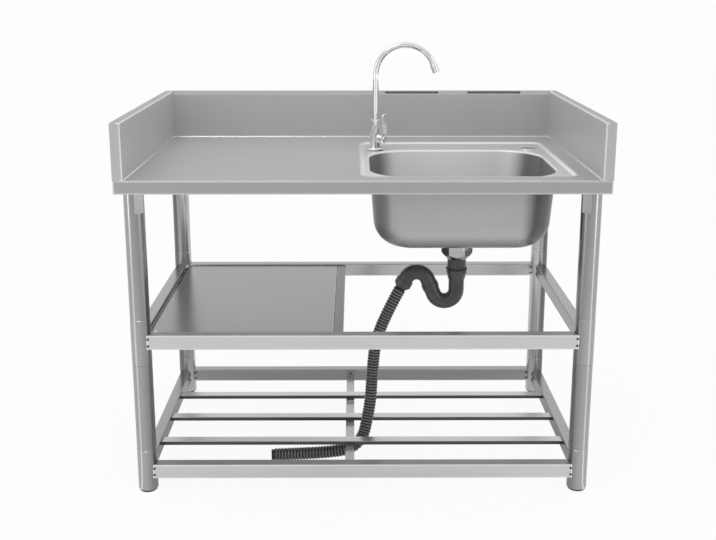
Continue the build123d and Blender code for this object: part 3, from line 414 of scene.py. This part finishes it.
def hose_plastic():
    """Glossy ribbed black plastic: painted shade in the valleys, painted highlight on the crests."""
    material, parts, links, shader = new_material("hose_plastic")
    crest = parts.new("ShaderNodeAttribute")
    crest.attribute_name = "crest"
    # painted shade in the valleys, painted highlight on the crests
    crest_highlight = ramp(parts, links, crest.outputs["Fac"], 0.45, 0.98, hose_valley_shade_level, hose_crest_highlight_level)
    scuffs = stretched_noise(parts, links, 90.0, (1.0, 1.0, 1.0), 3.0)
    tone = worked(parts, links, "MULTIPLY", crest_highlight, between(parts, links, scuffs, 0.75, 1.3))
    links.new(grey(parts, links, tone), shader.inputs["Base Color"])
    links.new(between(parts, links, scuffs, 0.20, 0.30), shader.inputs["Roughness"])
    return material


along_x = (0.012, 1.0, 1.0)
along_y = (1.0, 0.012, 1.0)
along_z = (1.0, 1.0, 0.012)

# painted light and shade: top, front, ends, inner, leg, rise and edge set faces lighter or darker
finishes = {
    # painted light on the worktop: darker on faces that look forwards, lighter towards the back
    "worktop": steel("worktop_steel", 0.50, along_x, roughness=0.40, metal=0.3, front=0.88, edge=0.8,
                     edge_radius=0.005, rise=(0.85, 1.17)),
    "splash": steel("splash_steel", 0.53, along_x, roughness=0.36, metal=0.5, top=0.75, edge=0.2, slots=True),
    "side_splash": steel("side_splash_steel", 0.50, along_y, roughness=0.36, metal=0.5, ends=1.25, top=0.62,
                         edge=0.9, edge_radius=0.005, edge_inside=0.585),
    "bowl": bowl_steel(),
    "leg": steel("leg_steel", 0.36, along_z, roughness=0.22, swing=0.02, metal=0.85, leg=True),
    "connector": steel("connector_steel", 0.38, along_z, roughness=0.22, swing=0.02, metal=0.85, leg=True,
                       edge=0.9, edge_radius=0.003),
    "socket": steel("socket_steel", 0.34, along_z, roughness=0.24, swing=0.02, metal=0.85, leg=True,
                    edge=0.4, edge_radius=0.002),
    "long_rail": steel("long_rail_steel", 0.60, along_x, roughness=0.38, metal=0.45, top=0.45, edge=0.7,
                       edge_radius=0.005),
    # the back rails are darker copies of the same steel: painted shade
    "back_rail": steel("back_rail_steel", 0.50, along_x, roughness=0.25, metal=0.85, top=0.7, edge=0.6,
                       edge_radius=0.005),
    "low_back_rail": steel("low_back_rail_steel", 0.38, along_x, roughness=0.25, metal=0.85, top=0.9, edge=0.8,
                           edge_radius=0.005),
    "short_rail": steel("short_rail_steel", 0.46, along_y, roughness=0.25, metal=0.85, top=0.80, inner=0.45,
                        edge=0.4, edge_radius=0.004),
    # the cross bar is a darker copy of the same steel: painted shade
    "cross_bar": steel("cross_bar_steel", 0.16, along_y, roughness=0.25, metal=0.85, edge=0.6),
    "tie_bar": steel("tie_bar_steel", 0.50, along_y, roughness=0.28, metal=0.85),
    "slat": steel("slat_steel", 0.48, along_x, roughness=0.34, metal=0.85, top=1.35, front=0.22, edge=0.5,
                  edge_radius=0.003),
    "shelf": shelf_steel(),
    "tap": polished("tap_steel", 0.90, 0.06),
    "strainer": polished("strainer_steel", 0.60, 0.16),
    # painted shade on the drain cup's faces that look sideways
    "drain_metal": steel("drain_steel", 0.46, along_z, roughness=0.20, ends=0.12, edge=0.5, edge_radius=0.0015),
    "nut": steel("nut_steel", 0.45, along_z, roughness=0.35, edge=0.3, edge_radius=0.001),
    "weld": steel("weld_steel", 0.78, along_x, roughness=0.26, metal=0.7),
    "plastic": plastic("black_plastic", 0.060, 0.27),
    "hose": hose_plastic(),
    "rubber": plastic("black_rubber", 0.020, 0.62),
    "foot": plastic("foot_plastic", 0.060, 0.50),
    "screw": plastic("black_screw", 0.020, 0.35),
}

wearing = {
    "worktop": "worktop", "deck_beams": "worktop", "drainboard_stiffeners": "worktop",
    "back_splash": "splash", "left_splash": "side_splash", "right_splash": "side_splash",
    "sink_bowl": "bowl", "leg_sockets": "socket", "upper_leg_tubes": "leg", "lower_leg_tubes": "leg",
    "middle_back_rail": "back_rail", "lower_back_rail": "low_back_rail",
    "shelf_panel": "shelf", "cross_bar": "cross_bar", "tie_bar": "tie_bar",
    "middle_left_rail": "short_rail", "middle_right_rail": "short_rail",
    "lower_left_rail": "short_rail", "lower_right_rail": "short_rail",
    "tap_body": "tap", "tap_collar": "tap", "valve_bonnet": "tap", "tap_lever": "tap", "spout": "tap",
    "aerator": "tap", "blanking_cap": "tap", "strainer_flange": "strainer", "strainer_basket": "strainer",
    "clamp_screw": "strainer", "drain_cup": "drain_metal", "fitting_nuts": "nut",
    "drain_nut": "plastic", "slip_nut": "plastic", "trap_bend": "plastic", "trap_crest": "plastic",
    "hose_nut": "plastic",
    "aerator_mesh": "plastic", "drain_hose": "hose", "drain_gaskets": "rubber", "tap_washers": "rubber",
    "seal_ring": "rubber", "frame_screws": "screw", "foot_inserts": "foot",
}


def finish_of(node):
    if node in wearing:
        return finishes[wearing[node]]
    for start, name in (("foot_", "foot"), ("slat_", "slat"), ("middle_connector", "connector"),
                        ("lower_connector", "connector"), ("middle_", "long_rail"), ("lower_", "long_rail")):
        if node.startswith(start):
            return finishes[name]
    raise KeyError(node)


def dress(piece, material):
    piece.data.materials.clear()
    piece.data.materials.append(material)


def dress_nodes():
    for name, node in nodes.items():
        for slot in node.material_slots:
            slot.material = finish_of(name)


# ---------------------------------------------------------------- pieces
def mesh_piece(name, vertices, faces, material, smooth=True):
    mesh = bpy.data.meshes.new(name)
    mesh.from_pydata(vertices, [], faces)
    mesh.update()
    for polygon in mesh.polygons:
        polygon.use_smooth = smooth
    piece = bpy.data.objects.new(name, mesh)
    bpy.context.collection.objects.link(piece)
    dress(piece, material)
    return piece


def ruled_piece(name, rings, material):
    """A closed solid through rings that all have the same number of points."""
    count = len(rings[0])
    vertices = [point for ring in rings for point in ring]
    faces = []
    for row in range(len(rings) - 1):
        for step in range(count):
            beside = (step + 1) % count
            low = row * count
            high = low + count
            faces.append((low + step, low + beside, high + beside, high + step))
    faces.append(tuple(range(count))[::-1])
    faces.append(tuple(range(len(vertices) - count, len(vertices))))
    piece = mesh_piece(name, vertices, faces, material, smooth=False)
    form = bmesh.new()
    form.from_mesh(piece.data)
    bmesh.ops.recalc_face_normals(form, faces=form.faces)
    form.to_mesh(piece.data)
    form.free()
    return piece


def cove_profile(radius, steps):
    """The (away from the wall, up) points of a weld dressed to a hollow, with its foot sunk in the sheets."""
    sunk = -0.0002
    profile = [(sunk, sunk), (sunk, radius)]
    for step in range(1, steps):
        angle = math.pi / 2 * step / steps
        profile.append((radius - radius * math.cos(angle), radius - radius * math.sin(angle)))
    profile.append((radius, sunk))
    return profile


def splash_welds():
    """The dressed welds along the foot of the three splashes, mitred at the back corners."""
    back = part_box("back_splash")[0][1]
    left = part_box("left_splash")[1][0]
    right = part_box("right_splash")[0][0]
    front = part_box("left_splash")[0][1]
    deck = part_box("worktop")[1][2]
    profile = cove_profile(weld_radius, 8)
    runs = {
        "back": [[(left + out, back - out, deck + up) for out, up in profile],
                 [(right - out, back - out, deck + up) for out, up in profile]],
        "left": [[(left + out, front, deck + up) for out, up in profile],
                 [(left + out, back - out, deck + up) for out, up in profile]],
        "right": [[(right - out, front, deck + up) for out, up in profile],
                  [(right - out, back - out, deck + up) for out, up in profile]],
    }
    for side, rings in runs.items():
        weld = ruled_piece(f"splash_weld_{side}", rings, finishes["weld"])
        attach(weld, "table")


def spline_points(route):
    """The points of a smooth NURBS line over a route, closely spaced."""
    curve = bpy.data.curves.new("hose_line", "CURVE")
    curve.dimensions = "3D"
    curve.resolution_u = 40
    spline = curve.splines.new("NURBS")
    spline.points.add(len(route) - 1)
    for point, place in zip(spline.points, route):
        point.co = (*place, 1.0)
    spline.order_u = 3
    spline.use_endpoint_u = True
    holder = bpy.data.objects.new("hose_line", curve)
    mesh = bpy.data.meshes.new_from_object(holder)
    points = [vertex.co.copy() for vertex in mesh.vertices]
    bpy.data.objects.remove(holder)
    bpy.data.meshes.remove(mesh)
    return points


class Line:
    """A line through closely spaced points, measured by its length."""

    def __init__(self, points):
        self.points = points
        self.marks = [0.0]
        for before, after in zip(points, points[1:]):
            self.marks.append(self.marks[-1] + (after - before).length)
        self.length = self.marks[-1]

    def at(self, distance):
        """The place and heading at a distance along the line."""
        distance = min(max(distance, 0.0), self.length)
        return self.place(distance), self.heading(distance)

    def heading(self, distance):
        step = 0.004
        ahead = self.place(min(distance + step, self.length))
        behind = self.place(max(distance - step, 0.0))
        return (ahead - behind).normalized()

    def place(self, distance):
        index = 1
        while index < len(self.marks) - 1 and self.marks[index] < distance:
            index += 1
        run = self.marks[index] - self.marks[index - 1]
        share = (distance - self.marks[index - 1]) / run
        return self.points[index - 1].lerp(self.points[index], share)


def ring_at(line, distance, radius, sides):
    centre, heading = line.at(distance)
    level = Vector((0, 1, 0))
    across = (level - heading * level.dot(heading)).normalized()
    up = heading.cross(across)
    ring = []
    for side in range(sides):
        angle = 2 * math.pi * side / sides
        ring.append(centre + (across * math.cos(angle) + up * math.sin(angle)) * radius)
    return ring


def hose_profile(length):
    """(distance, radius) of the hose's outside: round crests and narrow valleys between plain cuffs."""
    steps = 10
    profile = [(0.0, hose_valley)]
    count = int((length - 2 * hose_cuff) / hose_pitch)
    for rib in range(count):
        for step in range(steps):
            share = step / steps
            swell = 0.5 - 0.5 * math.cos(2 * math.pi * share)
            radius = hose_valley + (hose_crest - hose_valley) * swell ** 0.55
            profile.append((hose_cuff + (rib + share) * hose_pitch, radius))
    profile.append((hose_cuff + count * hose_pitch, hose_valley))
    profile.append((length, hose_valley))
    return profile


def drain_hose():
    """The ribbed hose, a closed tube wall with its bore."""
    points = spline_points(hose_route)
    line = Line(points)
    sides = 40
    profile = hose_profile(line.length)
    inner = [(line.length, hose_bore)]
    inner += [(line.length * step / 60, hose_bore) for step in range(59, 0, -1)]
    inner += [(0.0, hose_bore)]
    vertices = []
    for distance, radius in profile + inner:
        vertices += ring_at(line, distance, radius, sides)
    rings = len(profile) + len(inner)
    faces = []
    for ring in range(rings):
        after = (ring + 1) % rings
        for side in range(sides):
            beside = (side + 1) % sides
            faces.append((ring * sides + side, ring * sides + beside,
                          after * sides + beside, after * sides + side))
    hose = mesh_piece("drain_hose_ribbed", vertices, faces, finishes["hose"])
    crest = hose.data.attributes.new("crest", "FLOAT", "POINT")
    swell = hose_crest - hose_valley
    for index, (distance, radius) in enumerate(profile + inner):
        for side in range(sides):
            crest.data[index * sides + side].value = max(0.0, (radius - hose_valley) / swell)
    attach(hose, "table")
    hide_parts("drain_hose")


# ---------------------------------------------------------------- studio
def ray_kind(parts, links, names):
    """1 for the rays of the named kinds, and 0 for the others."""
    rays = parts.new("ShaderNodeLightPath")
    value = rays.outputs[names[0]]
    for name in names[1:]:
        value = worked(parts, links, "MAXIMUM", value, rays.outputs[name])
    return value


def mixed(parts, links, share, first, second):
    mix = parts.new("ShaderNodeMixShader")
    links.new(share, mix.inputs["Fac"])
    links.new(first, mix.inputs[1])
    links.new(second, mix.inputs[2])
    return mix.outputs["Shader"]


def make_world():
    """White to the eye, even for soft light, and in mirrors darker towards the front."""
    world = bpy.data.worlds.new("studio")
    bpy.context.scene.world = world
    world.use_nodes = True
    parts = world.node_tree.nodes
    links = world.node_tree.links
    parts.clear()
    output = parts.new("ShaderNodeOutputWorld")
    shades = {}
    for name, strength in (("lit", room_light), ("shown", backdrop_white), ("mirrored", mirror_sides)):
        shade = parts.new("ShaderNodeBackground")
        shade.inputs["Color"].default_value = (1, 1, 1, 1)
        shade.inputs["Strength"].default_value = strength
        shades[name] = shade
    towards = parts.new("ShaderNodeTexCoord")
    split = parts.new("ShaderNodeSeparateXYZ")
    links.new(towards.outputs["Generated"], split.inputs[0])
    behind = ramp(parts, links, split.outputs["Y"], 0.10, 0.75, 0.0, mirror_back - mirror_sides)
    before = ramp(parts, links, split.outputs["Y"], -0.55, -0.97, 0.0, mirror_front - mirror_sides)
    around = worked(parts, links, "ADD", worked(parts, links, "ADD", behind, before), mirror_sides)
    height = ramp(parts, links, split.outputs["Z"], 0.25, 0.80, 0.0, 1.0)
    rise = worked(parts, links, "MULTIPLY", worked(parts, links, "SUBTRACT", mirror_top, around), height)
    links.new(worked(parts, links, "ADD", around, rise), shades["mirrored"].inputs["Strength"])
    glossy = ray_kind(parts, links, ["Is Glossy Ray"])
    seen = ray_kind(parts, links, ["Is Camera Ray", "Is Transmission Ray"])
    unseen = mixed(parts, links, glossy, shades["lit"].outputs[0], shades["mirrored"].outputs[0])
    links.new(mixed(parts, links, seen, unseen, shades["shown"].outputs[0]), output.inputs["Surface"])


def strip_on_floor(parts, links, place, side):
    """A painted reflection of a strip lamp in the floor, as a front leg mirrors it: a streak from its foot to
    the lamp.
    """
    foot = Vector((side * leg_foot[0], leg_foot[1]))
    towards = (Vector(strip_lamps[side][:2]) - foot).normalized()
    east = worked(parts, links, "SUBTRACT", place[0], foot.x)
    north = worked(parts, links, "SUBTRACT", place[1], foot.y)
    ahead = worked(parts, links, "ADD", worked(parts, links, "MULTIPLY", east, towards.x),
                   worked(parts, links, "MULTIPLY", north, towards.y))
    beside = worked(parts, links, "SUBTRACT", worked(parts, links, "MULTIPLY", east, towards.y),
                    worked(parts, links, "MULTIPLY", north, towards.x))
    slant = worked(parts, links, "DIVIDE", worked(parts, links, "ABSOLUTE", beside),
                   worked(parts, links, "MAXIMUM", ahead, 0.001))
    return ramp(parts, links, slant, 0.17, 0.08, 0.0, strip_painted_reflection)


def make_floor():
    """Pale paint that reads white and keeps a soft shadow, and dims in mirrors away from the object."""
    material = bpy.data.materials.new("studio_floor")
    material.use_nodes = True
    parts = material.node_tree.nodes
    links = material.node_tree.links
    parts.clear()
    output = parts.new("ShaderNodeOutputMaterial")
    paint = parts.new("ShaderNodeBsdfDiffuse")
    paint.inputs["Color"].default_value = (0.88, 0.88, 0.88, 1)
    white = parts.new("ShaderNodeEmission")
    white.inputs["Strength"].default_value = 1.0
    dimmed = parts.new("ShaderNodeEmission")
    place = parts.new("ShaderNodeTexCoord")
    split = parts.new("ShaderNodeSeparateXYZ")
    links.new(place.outputs["Object"], split.inputs[0])
    away = ramp(parts, links, split.outputs["Y"], -1.2, -3.6, floor_near, floor_far)
    across = worked(parts, links, "POWER", worked(parts, links, "DIVIDE", split.outputs["X"], 0.60), 2.0)
    along = worked(parts, links, "POWER", worked(parts, links, "DIVIDE", split.outputs["Y"], 0.38), 2.0)
    # painted shadow under the table in the floor's glow for mirrors
    under = ramp(parts, links, worked(parts, links, "ADD", across, along), 0.5, 2.0, floor_under_shadow, 1.0)
    level = worked(parts, links, "MULTIPLY", away, under)
    # painted reflections of the strip lamps in the floor's glow for mirrors
    for side in (-1, 1):
        level = worked(parts, links, "ADD", level, strip_on_floor(parts, links, split.outputs, side))
    links.new(level, dimmed.inputs["Strength"])
    glossy = ray_kind(parts, links, ["Is Glossy Ray"])
    seen = ray_kind(parts, links, ["Is Camera Ray", "Is Glossy Ray", "Is Transmission Ray"])
    shine = worked(parts, links, "MULTIPLY", seen, floor_shine)
    glow = mixed(parts, links, glossy, white.outputs[0], dimmed.outputs[0])
    links.new(mixed(parts, links, shine, paint.outputs[0], glow), output.inputs["Surface"])
    size = 14.0
    corners = [(-size, -size, 0), (size, -size, 0), (size, size, 0), (-size, size, 0)]
    floor = mesh_piece("studio_floor", corners, [(0, 1, 2, 3)], material, smooth=False)


def lamp(name, place, target, width, height, power):
    data = bpy.data.lights.new(name, "AREA")
    data.shape = "RECTANGLE"
    data.size = width
    data.size_y = height
    data.energy = power
    light = bpy.data.objects.new(name, data)
    light.location = place
    aim = Vector(target) - Vector(place)
    light.rotation_euler = aim.to_track_quat("-Z", "Y").to_euler()
    bpy.context.collection.objects.link(light)


def make_lamps():
    lamp("key", (-0.8, -1.6, 3.0), (0, 0, 0.6), 1.1, 0.8, 12)
    for side, name in ((-1, "strip_left"), (1, "strip_right")):
        lamp(name, strip_lamps[side], (side * leg_foot[0], leg_foot[1], 0.6), 0.40, 2.4, strip_power)


make_camera()
make_world()
make_floor()
make_lamps()
drain_hose()
dress_nodes()
splash_welds()
bpy.context.scene.view_settings.view_transform = "Standard"
